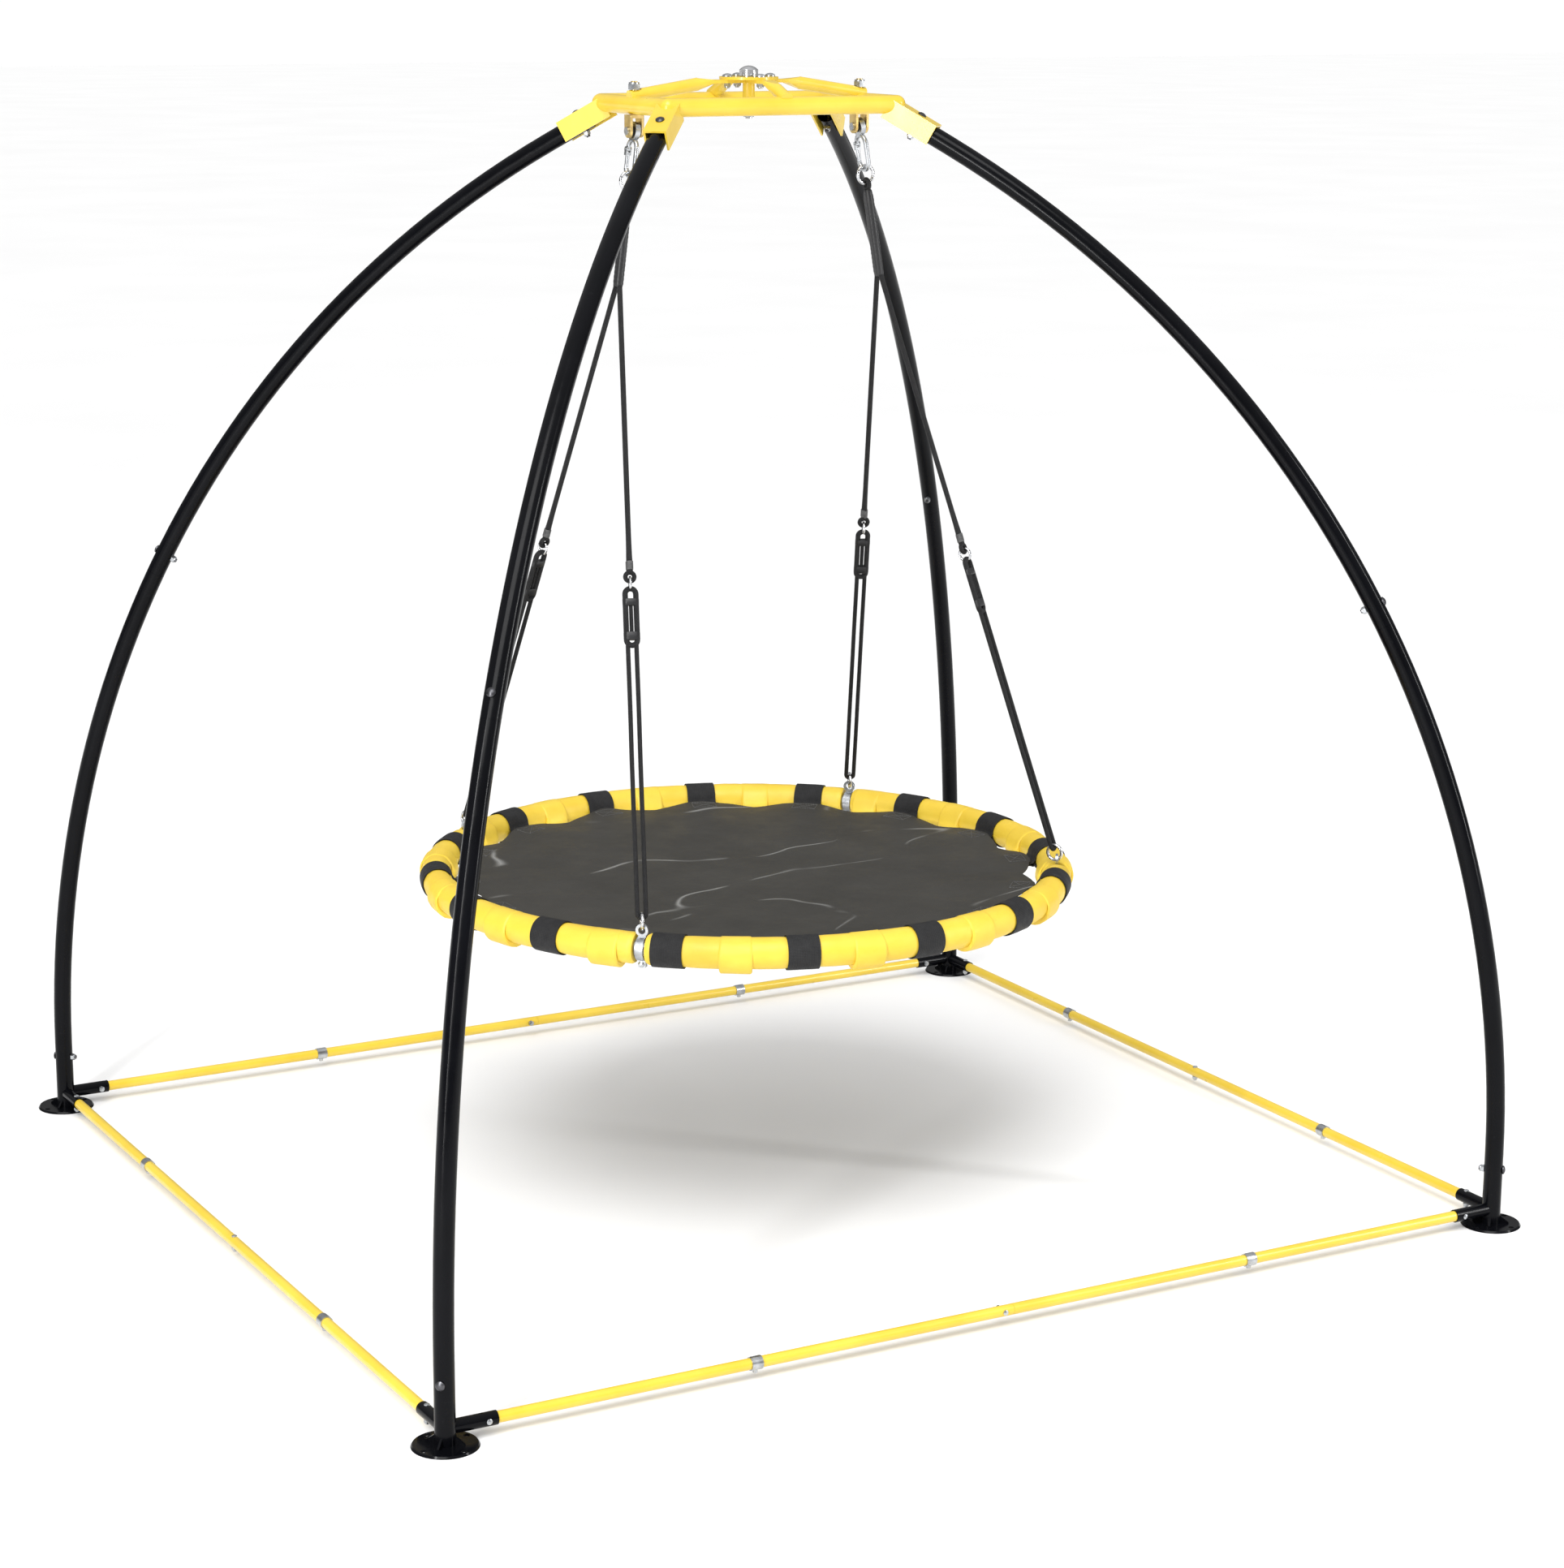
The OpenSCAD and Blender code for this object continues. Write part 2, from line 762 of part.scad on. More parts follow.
// Doubled rope: two strands down from the adjuster, turning under the rim ring's top
module lower_rope(k) color(ROPE)
    on_rope(k, rope_len(k) - rim_ring_up - 2 * rim_ring_r) {
        strand_len = rope_len(k) - rim_ring_up - 2 * rim_ring_r - link_at + adjuster_top - adjuster_len - 0.1;
        for (y = [-strand_y, strand_y])
            translate([0, y, 0])
                cylinder(d = lower_rope_d, h = strand_len);
        rotate([-90, 0, 0])
            half_ring(strand_y, lower_rope_d);
    }

module rim_rings() color(CHROME)
    for (k = [0:3])
        on_rope(k, rope_len(k) - rim_ring_up - rim_ring_r)
            rotate([90, 0, 0])
                ring(rim_ring_r, ring_wire);

// ---- rim ----
// Frame on the rim's centre line at angle a: +X outwards, +Y along the rim
module on_rim(a) {
    rotate([0, 0, a])
        translate([rim_r, 0, rim_z])
            children();
}

clamp_w = 12;
clamp_d = 35;
ear_z = -clamp_d / 2 - 4;

module rim_clamps() color(ZINC)
    for (a = clamp_a)
        on_rim(a)
            difference() {
                union() {
                    rotate([0, 0, 90])
                        x_cylinder(clamp_d, clamp_w, -clamp_w / 2);
                    translate([0, 0, lug_z - rim_z])
                        x_cylinder(19, 4, -2);
                    translate([-2, -6, 14])
                        cube([4, 12, lug_z - rim_z - 14]);
                    translate([-5, -6, ear_z - 6])
                        cube([10, 12, 12]);
                }
                rotate([0, 0, 90])
                    x_cylinder(rim_tube_d + 0.2, 30, -15);
                translate([0, 0, lug_z - rim_z])
                    x_cylinder(2 * lug_hole_r, 20, -10);
                translate([-1, -10, ear_z - 8])
                    cube([2, 20, 14]);
                translate([0, 0, ear_z - 1])
                    x_cylinder(5.4, 20, -10);
            }

module rim_clamp_bolts() color(ZINC)
    for (a = clamp_a)
        on_rim(a)
            translate([0, 0, ear_z - 1])
                rotate([0, 0, 180]) {
                    translate([-5, 0, 0])
                        x_bolt(5, 16, 9, 3);
                    translate([5, 0, 0])
                        x_nut(5);
                }

// Half of the rim's steel tube, with a reduced end that slides into the other half
module rim_tube(half) color(ZINC)
    rotate([0, 0, half == 1 ? 0 : 180])
        difference() {
            union() {
                rim_bar(rim_tube_d, 0.01, 179.99);
                rim_bar(rim_bore - 0.4, -spigot_turn, 1);
            }
            rim_bar(rim_bore, 1.1, 181);
            rim_bar(rim_bore - 3, -spigot_turn - 1, 1.2);
        }

// Round bar along the rim's centre line, from angle a0 to angle a1
module rim_bar(d, a0, a1) {
    arc_about_z(rim_r, (a0 + a1) / 2, a1 - a0)
        translate([0, rim_z])
            circle(d = d);
}

foam_ends = [clamp_a[0], clamp_a[3], clamp_a[2], clamp_a[1], clamp_a[0] + 360];

module foam_sleeves() color(YELLOW)
    for (i = [0:3]) {
        turn = foam_ends[i + 1] - foam_ends[i] - 2 * foam_gap;
        arc_about_z(rim_r, foam_ends[i] + foam_gap + turn / 2, turn)
            translate([0, rim_z])
                difference() {
                    circle(d = foam_d);
                    circle(d = rim_tube_d + 0.4);
                }
    }

// Middle of collar i, moved along the rim where a clamp would be too near
function collar_mid(i) = strap_phase + (i + 0.5) * 360 / strap_n;
function clamp_off(i, k) = (collar_mid(i) - clamp_a[k] + 540) % 360 - 180;
function collar_move(i) = [for (k = [0:3]) if (abs(clamp_off(i, k)) < 4.5) sign(clamp_off(i, k)) * 1.2];
function collar_at(i) = collar_mid(i) + (len(collar_move(i)) > 0 ? collar_move(i)[0] : 0);

module foam_collars() color(YELLOW)
    for (i = [0:strap_n - 1])
        arc_about_z(rim_r, collar_at(i), collar_turn)
            translate([0, rim_z])
                difference() {
                    translate([0, -collar_drop])
                        circle(d = collar_d);
                    circle(d = foam_d + 0.2);
                }

module mat() color(MAT)
    translate([0, 0, mat_z])
        cylinder(d = mat_d, h = mat_t, $fn = 180);

module mat_straps() color(STRAP)
    for (i = [0:strap_n - 1])
        rotate([0, 0, strap_phase + i * 360 / strap_n]) {
            arc_about_z(rim_r, 0, strap_w / rim_r * 180 / PI)
                translate([0, rim_z])
                    difference() {
                        circle(d = foam_d + 0.4 + 2 * strap_t);
                        circle(d = foam_d + 0.4);
                    }
            translate([mat_d / 2 - 36, -strap_w / 2, mat_z + mat_t + 0.1])
                cube([rim_r - foam_d / 2 - 0.8 - mat_d / 2 + 36, strap_w, 1.8]);
        }

// ---- what is drawn ----
for (i = [0:3]) {
    foot(i);
    lower_leg(i);
    upper_leg(i);
    upper_rope(i);
    lower_rope(i);
}
for (h = [1, 2]) {
    rail_along_x(-1, h);
    rail_along_x(1, h);
    rail_along_y(-1, h);
    rail_along_y(1, h);
    rim_tube(h);
}
rail_bands();
rail_bolts();
leg_bolts();
frame_nuts();
hub_ring();
hub_plate();
hub_plate_bolts();
hub_centre_bolt();
hanger(-1);  // hanger_left
hanger(1);  // hanger_right
hanger_nuts();
hanger_pins();
hanger_bushings();
snap_hook(-1);  // snap_hook_left
snap_hook(1);  // snap_hook_right
gate(-1);  // gate_left
gate(1);  // gate_right
gate_pins();
top_rings();
rope_sleeve(-1);  // rope_sleeve_left
rope_sleeve(1);  // rope_sleeve_right
link_rings();
rope_adjusters();
rim_rings();
rim_clamps();
rim_clamp_bolts();
foam_sleeves();
foam_collars();
mat();
mat_straps();
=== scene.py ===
import json
import math
import random

import bpy
from mathutils import Matrix, Vector, noise


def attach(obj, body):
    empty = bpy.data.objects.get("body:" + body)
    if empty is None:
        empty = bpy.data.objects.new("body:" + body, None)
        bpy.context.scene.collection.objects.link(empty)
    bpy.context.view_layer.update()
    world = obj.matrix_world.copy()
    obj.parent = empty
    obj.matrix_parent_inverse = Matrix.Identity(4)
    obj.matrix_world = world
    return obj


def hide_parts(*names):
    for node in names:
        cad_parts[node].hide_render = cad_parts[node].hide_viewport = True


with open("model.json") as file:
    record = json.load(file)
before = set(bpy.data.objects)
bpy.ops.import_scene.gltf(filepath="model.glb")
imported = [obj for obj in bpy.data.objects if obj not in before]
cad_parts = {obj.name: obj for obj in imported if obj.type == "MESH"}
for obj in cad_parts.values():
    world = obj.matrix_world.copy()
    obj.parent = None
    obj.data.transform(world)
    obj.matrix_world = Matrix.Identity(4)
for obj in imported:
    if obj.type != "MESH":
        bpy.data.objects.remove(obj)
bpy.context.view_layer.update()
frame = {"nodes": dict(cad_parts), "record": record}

NODES = frame["nodes"]
random.seed(11)

# ---- camera, at the photograph's viewing angle ----
AZIMUTH, ELEVATION, ROLL = -29.114, 13.119, 0.30     # degrees
LENS, SENSOR = 80.615, 36.0                          # millimetres
DISTANCE = 5.4302
AIM_RIGHT, AIM_UP = 0.0547, 0.6175                   # the point that the camera looks at


def make_camera():
    a, e, r = (math.radians(x) for x in (AZIMUTH, ELEVATION, ROLL))
    back = Vector((math.sin(a) * math.cos(e), -math.cos(a) * math.cos(e), math.sin(e)))
    level = Vector((math.cos(a), math.sin(a), 0))
    upright = back.cross(level)
    right = level * math.cos(r) + upright * math.sin(r)
    up = upright * math.cos(r) - level * math.sin(r)
    cam = bpy.data.objects.new("camera", bpy.data.cameras.new("camera"))
    bpy.context.scene.collection.objects.link(cam)
    place = Matrix((right, up, back)).transposed().to_4x4()
    place.translation = level * AIM_RIGHT + Vector((0, 0, AIM_UP)) + back * DISTANCE
    cam.matrix_world = place
    cam.data.sensor_fit = "HORIZONTAL"
    cam.data.sensor_width = SENSOR
    cam.data.lens = LENS
    cam.data.clip_end = 100
    bpy.context.scene.camera = cam


make_camera()

# ---- measures repeated from the CAD source, in metres ----
PIN_Z, RING_X, SPLIT_Z = 1.617, 0.190, 1.396
LEAN = {-1: math.radians(7.1), 1: math.radians(9.6)}
CLAMP_A = [-136.5, 131.0, 40.5, -34.0]     # where ropes a to d meet the rim, in degrees round it
SIDE = [-1, -1, 1, 1]                      # which hanger each rope is on
SLOPE = [-1, 1, 1, -1]                     # to which side of its partner each rope leaves the sleeve
RIM_R = RIM_Z = 0.482
LUG_Z = RIM_Z + 0.027
PART_GAP = 0.0044             # half distance between two ropes at their parting
LINK_AT = 0.449               # from the parting down to the link ring
RIM_RING_R, RIM_RING_UP = 0.0115, 0.0006
STRAPS, STRAP_PHASE, STRAP_W = 16, 3.5, 0.047
ROPE_NAMES = "abcd"


def split(k):
    s = SIDE[k]
    return Vector((s * (RING_X + (PIN_Z - SPLIT_Z) * math.tan(LEAN[s])), SLOPE[k] * PART_GAP, SPLIT_Z))


def lug(k):
    a = math.radians(CLAMP_A[k])
    return Vector((RIM_R * math.cos(a), RIM_R * math.sin(a), LUG_Z))


def rope_length(k):
    return (split(k) - lug(k)).length


def rope_frame(k, down):
    """Frame on rope k: +Z up the rope, Y level."""
    u = (split(k) - lug(k)).normalized()
    turn = Matrix.Rotation(math.atan2(u.y, u.x), 4, "Z") @ Matrix.Rotation(math.acos(u.z), 4, "Y")
    return Matrix.Translation(split(k) - u * down) @ turn


def hook_frame(s):
    return Matrix.Translation((s * RING_X, 0, PIN_Z)) @ Matrix.Rotation(-s * LEAN[s], 4, "Y")


# ---- materials ----
def start(name):
    m = bpy.data.materials.new(name)
    m.use_nodes = True
    t = m.node_tree
    bsdf = t.nodes["Principled BSDF"]
    return m, t, bsdf


def add(t, kind, **values):
    n = t.nodes.new(kind)
    for key, value in values.items():
        setattr(n, key, value)
    return n


def coords(t, kind="Object"):
    return add(t, "ShaderNodeTexCoord").outputs[kind]


def fractal(t, source, scale, detail=4.0, rough=0.55, stretch=None):
    n = add(t, "ShaderNodeTexNoise")
    n.inputs["Scale"].default_value = scale
    n.inputs["Detail"].default_value = detail
    n.inputs["Roughness"].default_value = rough
    if stretch:
        mp = add(t, "ShaderNodeMapping")
        mp.inputs["Scale"].default_value = stretch
        t.links.new(source, mp.inputs["Vector"])
        source = mp.outputs["Vector"]
    t.links.new(source, n.inputs["Vector"])
    return n.outputs["Fac"]


def ramp(t, source, stops):
    n = add(t, "ShaderNodeValToRGB")
    e = n.color_ramp.elements
    while len(e) < len(stops):
        e.new(0.5)
    for spot, (at, colour) in zip(e, stops):
        spot.position = at
        spot.color = (*colour, 1) if len(colour) == 3 else colour
    t.links.new(source, n.inputs["Fac"])
    return n.outputs["Color"]


def to_range(t, source, low, high, start_at=0.3, end_at=0.7):
    n = add(t, "ShaderNodeMapRange")
    n.inputs["From Min"].default_value = start_at
    n.inputs["From Max"].default_value = end_at
    n.inputs["To Min"].default_value = low
    n.inputs["To Max"].default_value = high
    t.links.new(source, n.inputs["Value"])
    return n.outputs["Result"]


def bump(t, bsdf, height, strength, distance, under=None):
    n = add(t, "ShaderNodeBump")
    n.inputs["Strength"].default_value = strength
    n.inputs["Distance"].default_value = distance
    t.links.new(height, n.inputs["Height"])
    if under is not None:
        t.links.new(under, n.inputs["Normal"])
    t.links.new(n.outputs["Normal"], bsdf.inputs["Normal"])
    return n.outputs["Normal"]


WAVE_PERIOD = 0.314            # Blender's wave texture repeats at this length at scale 1


def wave(t, source, period, direction):
    n = add(t, "ShaderNodeTexWave", bands_direction=direction)
    n.inputs["Scale"].default_value = WAVE_PERIOD / period
    t.links.new(source, n.inputs["Vector"])
    return n.outputs["Fac"]


def math_node(t, op, a, b):
    n = add(t, "ShaderNodeMath", operation=op)
    for i, v in enumerate((a, b)):
        if isinstance(v, (int, float)):
            n.inputs[i].default_value = v
        else:
            t.links.new(v, n.inputs[i])
    return n.outputs[0]


def blend_by(t, factor, a, b):
    n = add(t, "ShaderNodeMix", data_type="RGBA")
    t.links.new(factor, n.inputs[0])
    for socket, v in ((n.inputs[6], a), (n.inputs[7], b)):
        if isinstance(v, tuple):
            socket.default_value = (*v, 1)
        else:
            t.links.new(v, socket)
    return n.outputs[2]


def painted(name, dark, light, wear_and_sheen, rough, coat, peel=0.12, specular=0.5):
    """Powder coat: slight orange peel, uneven gloss, fine dust and a few dull scuffs."""
    m, t, b = start(name)
    c = coords(t)
    tone = ramp(t, fractal(t, c, 9.0), [(0.3, dark), (0.7, light)])
    scuff = ramp(t, fractal(t, c, 75.0, 8.0, 0.7), [(0.63, (0, 0, 0)), (0.75, (1, 1, 1))])
    t.links.new(blend_by(t, math_node(t, "MULTIPLY", scuff, 0.35), tone, wear_and_sheen), b.inputs["Base Color"])
    t.links.new(to_range(t, fractal(t, c, 30.0, 6.0), rough - 0.05, rough + 0.1), b.inputs["Roughness"])
    b.inputs["Coat Weight"].default_value = coat
    b.inputs["Specular IOR Level"].default_value = specular
    b.inputs["Coat Roughness"].default_value = 0.12
    bump(t, b, fractal(t, c, 420.0, 2.0), peel, 0.0005)
    return m


def metal(name, dark, light, rough, scale=60.0, strength=0.1):
    """Plated metal: mottled tone, uneven polish and faint handling marks."""
    m, t, b = start(name)
    c = coords(t)
    t.links.new(ramp(t, fractal(t, c, scale, 6.0), [(0.3, dark), (0.7, light)]), b.inputs["Base Color"])
    b.inputs["Metallic"].default_value = 1.0
    t.links.new(to_range(t, fractal(t, c, 140.0, 5.0), rough, rough + 0.16), b.inputs["Roughness"])
    bump(t, b, fractal(t, c, 900.0, 2.0), strength, 0.0003)
    return m


def foam_material():
    """Closed-cell foam with a smooth skin: fine pores, soft dents and a little soil below."""
    m, t, b = start("foam")
    c = coords(t)
    tone = ramp(t, fractal(t, c, 14.0, 5.0), [(0.3, (0.75, 0.51, 0.034)), (0.72, (0.84, 0.61, 0.064))])
    soil = ramp(t, fractal(t, c, 55.0, 8.0, 0.7), [(0.60, (0, 0, 0)), (0.78, (1, 1, 1))])
    soiled = blend_by(t, math_node(t, "MULTIPLY", soil, 0.3), tone, (0.55, 0.35, 0.04))
    t.links.new(soiled, b.inputs["Base Color"])
    t.links.new(to_range(t, fractal(t, c, 24.0), 0.38, 0.56), b.inputs["Roughness"])
    b.inputs["Subsurface Weight"].default_value = 0.06
    b.inputs["Subsurface Radius"].default_value = (0.006, 0.004, 0.001)
    dents = bump(t, b, fractal(t, c, 45.0, 3.0), 0.25, 0.002)
    bump(t, b, fractal(t, c, 900.0, 2.0), 0.22, 0.0006, dents)
    return m


def mat_material():
    """Woven mat cloth: flat tapes over and under, and pale lines where it has been folded."""
    m, t, b = start("mat_cloth")
    c = coords(t)
    warp = wave(t, c, 0.0026, "X")
    weft = wave(t, c, 0.0026, "Y")
    cross = math_node(t, "MULTIPLY", warp, weft)
    blotches = fractal(t, c, 5.0, 6.0, 0.6)
    tone = ramp(t, blotches, [(0.3, (0.026, 0.0245, 0.021)), (0.72, (0.041, 0.039, 0.034))])
    woven = blend_by(t, math_node(t, "MULTIPLY", cross, 0.55), tone, (0.062, 0.060, 0.054))
    line = fractal(t, c, 2.6, 1.6, 0.5, (1.0, 1.7, 0.2))
    near = math_node(t, "ABSOLUTE", math_node(t, "SUBTRACT", line, 0.5), 0.0)
    crease = ramp(t, near, [(0.0, (1, 1, 1)), (0.009, (0, 0, 0))])
    patch = ramp(t, fractal(t, c, 6.5, 2.0), [(0.47, (0, 0, 0)), (0.58, (1, 1, 1))])
    faint = math_node(t, "MULTIPLY", math_node(t, "MULTIPLY", crease, patch), 0.8)
    t.links.new(blend_by(t, faint, woven, (0.30, 0.30, 0.29)), b.inputs["Base Color"])
    t.links.new(to_range(t, fractal(t, c, 18.0, 5.0), 0.5, 0.7), b.inputs["Roughness"])
    b.inputs["Specular IOR Level"].default_value = 0.3
    folds = bump(t, b, crease, 0.35, 0.0012)
    bump(t, b, cross, 0.5, 0.0005, folds)
    return m


def webbing_material():
    """Black webbing: ribs across the strap and yarns along it."""
    m, t, b = start("webbing")
    uv, c = coords(t, "UV"), coords(t)
    ribs = wave(t, uv, 0.0016, "Y")
    yarns = wave(t, uv, 0.0022, "X")
    weave = math_node(t, "MULTIPLY", ribs, yarns)
    tone = ramp(t, fractal(t, c, 60.0, 6.0), [(0.3, (0.008, 0.008, 0.0085)), (0.75, (0.018, 0.018, 0.019))])
    woven = blend_by(t, math_node(t, "MULTIPLY", weave, 0.6), tone, (0.032, 0.032, 0.034))
    t.links.new(woven, b.inputs["Base Color"])
    t.links.new(to_range(t, fractal(t, c, 90.0), 0.5, 0.68), b.inputs["Roughness"])
    b.inputs["Specular IOR Level"].default_value = 0.3
    bump(t, b, weave, 0.8, 0.0007)
    return m


def thread_material():
    """Dark thread of the seams and whippings."""
    m, t, b = start("thread")
    c = coords(t)
    tone = ramp(t, fractal(t, c, 300.0), [(0.3, (0.05, 0.05, 0.052)), (0.7, (0.13, 0.13, 0.13))])
    t.links.new(tone, b.inputs["Base Color"])
    t.links.new(to_range(t, fractal(t, c, 500.0), 0.4, 0.6), b.inputs["Roughness"])
    bump(t, b, fractal(t, c, 2500.0), 0.4, 0.0003)
    return m


def rope_material(name, dark, light, strands, pitch):
    """Braided rope: two sets of yarns that cross, from the piece's own u round and v along, with a painted
    sheen on the yarns' crowns.
    """
    m, t, b = start(name)
    sep = add(t, "ShaderNodeSeparateXYZ")
    t.links.new(coords(t, "UV"), sep.inputs[0])
    round_ = math_node(t, "MULTIPLY", sep.outputs[0], strands * 2 * math.pi)
    along = math_node(t, "MULTIPLY", sep.outputs[1], 2 * math.pi / pitch)
    one = math_node(t, "SINE", math_node(t, "ADD", round_, along), 0.0)
    two = math_node(t, "SINE", math_node(t, "SUBTRACT", round_, along), 0.0)
    yarn = math_node(t, "ABSOLUTE", math_node(t, "MULTIPLY", one, two), 0.0)
    c = coords(t)
    tone = ramp(t, fractal(t, c, 80.0, 6.0), [(0.3, dark), (0.75, light)])
    # painted sheen: the raised crowns of the yarns are painted lighter than the grooves between them, by the
    # same yarn height as the bump
    wear_and_sheen = tuple(2.6 * x for x in light)
    t.links.new(blend_by(t, math_node(t, "MULTIPLY", yarn, 0.5), tone, wear_and_sheen), b.inputs["Base Color"])
    t.links.new(to_range(t, fractal(t, c, 200.0), 0.42, 0.62), b.inputs["Roughness"])
    b.inputs["Specular IOR Level"].default_value = 0.3
    bump(t, b, yarn, 0.9, 0.0011)
    return m


BLACK_PAINT = painted("black_paint", (0.0018, 0.0020, 0.0028), (0.0036, 0.0038, 0.0052),
                      wear_and_sheen=(0.018, 0.019, 0.022), rough=0.16, coat=0.03, peel=0.04, specular=0.10)
YELLOW_PAINT = painted("yellow_paint", (0.73, 0.50, 0.032), (0.83, 0.60, 0.058),
                       wear_and_sheen=(0.64, 0.47, 0.13), rough=0.32, coat=0.3)
ZINC = metal("zinc", (0.34, 0.355, 0.375), (0.60, 0.62, 0.64), 0.24)
CHROME = metal("chrome", (0.50, 0.51, 0.53), (0.78, 0.78, 0.79), 0.09, scale=25.0, strength=0.04)
YELLOW_ZINC = metal("yellow_zinc", (0.56, 0.38, 0.13), (0.86, 0.67, 0.30), 0.26)
BLACK_ZINC = metal("black_zinc", (0.05, 0.05, 0.055), (0.13, 0.13, 0.14), 0.25)
BLACK_PLASTIC = painted("black_plastic", (0.012, 0.012, 0.013), (0.022, 0.022, 0.024),
                        wear_and_sheen=(0.05, 0.05, 0.05), rough=0.42, coat=0.0, peel=0.25)
FOAM = foam_material()
MAT = mat_material()
WEBBING = webbing_material()
THREAD = thread_material()
ROPE = rope_material("rope_braid", (0.005, 0.005, 0.0055), (0.012, 0.012, 0.013), strands=4, pitch=0.009)
SLEEVE = painted("shrink_sleeve", (0.010, 0.010, 0.011), (0.018, 0.018, 0.02),
                 wear_and_sheen=(0.04, 0.04, 0.042), rough=0.4, coat=0.0, peel=0.5)

SLOT_OF = {
    "black_paint": BLACK_PAINT, "yellow_paint": YELLOW_PAINT, "zinc": ZINC, "chrome": CHROME,
    "yellow_zinc": YELLOW_ZINC, "black_zinc": BLACK_ZINC, "black_plastic": BLACK_PLASTIC,
    "rope": ROPE, "yellow_foam": FOAM, "mat": MAT, "strap": WEBBING,
}


def smooth(obj, angle):
    for p in obj.data.polygons:
        p.use_smooth = True
    obj.data.set_sharp_from_angle(angle=math.radians(angle))


def finish_cad():
    """Gives each CAD node the material of its slot."""
    for part in frame["record"]["subparts"]:
        obj = NODES[part["node"]]
        obj.data.materials.clear()
        obj.data.materials.append(SLOT_OF[part["material_slot"]])
        for p in obj.data.polygons:
            p.material_index = 0
        smooth(obj, 30)


finish_cad()


# ---- mesh helpers ----
def build(name, verts, faces, uvs, material, body, angle):
    mesh = bpy.data.meshes.new(name)
    mesh.from_pydata([tuple(v) for v in verts], [], faces)
    layer = mesh.uv_layers.new(name="UVMap")
    for poly in mesh.polygons:
        for n, li in enumerate(poly.loop_indices):
            layer.data[li].uv = uvs[poly.index][n]
    mesh.update()
    obj = bpy.data.objects.new(name, mesh)
    bpy.context.scene.collection.objects.link(obj)
    mesh.materials.append(material)
    smooth(obj, angle)
    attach(obj, body)
    return obj


def grid_faces(rows, cols, wrap_rows, wrap_cols, uv_of):
    faces, uvs = [], []
    for i in range(rows if wrap_rows else rows - 1):
        for j in range(cols if wrap_cols else cols - 1):
            a, b = i, (i + 1) % rows
            c, d = j, (j + 1) % cols
            faces.append((a * cols + c, a * cols + d, b * cols + d, b * cols + c))
            uvs.append([uv_of(i, j), uv_of(i, j + 1), uv_of(i + 1, j + 1), uv_of(i + 1, j)])
    return faces, uvs


class Shape:
    """Collects several closed solids into one mesh."""

    def __init__(self):
        self.verts, self.faces, self.uvs = [], [], []

    def grid(self, rings, closed):
        """Skin over rings of points; closed joins the last ring to the first, else the ends are capped."""
        base, cols = len(self.verts), len(rings[0])
        run = [0.0]
        for i in range(1, len(rings) + 1):
            p, q = rings[i - 1], rings[i % len(rings)]
            run.append(run[-1] + (sum(q, Vector()) / cols - sum(p, Vector()) / cols).length)
        for r in rings:
            self.verts.extend(r)
        faces, uvs = grid_faces(len(rings), cols, closed, True, lambda i, j: (j / cols, run[i]))
        self.faces += [tuple(base + v for v in f) for f in faces]
        self.uvs += uvs
        if not closed:
            for first, at, flip in ((0, 0, True), (len(rings) - 1, -1, False)):
                centre = len(self.verts)
                self.verts.append(sum(rings[first], Vector()) / cols)
                for j in range(cols):
                    a, b = base + first * cols + j, base + first * cols + (j + 1) % cols
                    self.faces.append((a, centre, b) if not flip else (b, centre, a))
                    u0, u1, v = j / cols, (j + 1) / cols, run[first]
                    self.uvs.append([(u0, v), (u0, v), (u1, v)] if not flip else [(u1, v), (u0, v), (u0, v)])

    def tube(self, points, radius, sides=16, closed=False):
        """Round tube along points, with rounded ends if it is open; radius is a number or a list."""
        n = len(points)
        radii = list(radius) if isinstance(radius, (list, tuple)) else [radius] * n
        tangents = []
        for i in range(n):
            a = points[(i - 1) % n] if closed or i else points[0]
            b = points[(i + 1) % n] if closed or i < n - 1 else points[-1]
            tangents.append((b - a).normalized())
        side = tangents[0].orthogonal().normalized()
        frames = []
        for t in tangents:
            side = (side - t * side.dot(t)).normalized()
            frames.append((side.copy(), t.cross(side)))
        rings = []

        def ring_at(p, i, r):
            x, y = frames[i]
            return [p + x * (r * math.cos(q)) + y * (r * math.sin(q))
                    for q in (2 * math.pi * j / sides for j in range(sides))]

        def dome(i, sign, share):
            r, q = radii[i], share * math.pi / 2
            return ring_at(points[i] + tangents[i] * sign * 0.45 * r * math.cos(q), i, r * math.sin(q))

        if not closed:
            rings += [dome(0, -1, share) for share in (0.35, 0.75)]
        rings += [ring_at(p, i, radii[i]) for i, p in enumerate(points)]
        if not closed:
            rings += [dome(n - 1, 1, share) for share in (0.75, 0.35)]
        self.grid(rings, closed)

    def make(self, name, material, body, angle=50):
        return build(name, self.verts, self.faces, self.uvs, material, body, angle)


def along(a, b, step=0.008):
    n = max(2, int((b - a).length / step) + 1)
    return [a.lerp(b, i / (n - 1)) for i in range(n)]


def wobble(p, scale, amount):
    return Vector((noise.noise(p * scale), noise.noise(p * scale + Vector((31, 7, 3))),
                   noise.noise(p * scale + Vector((5, 19, 43))))) * amount


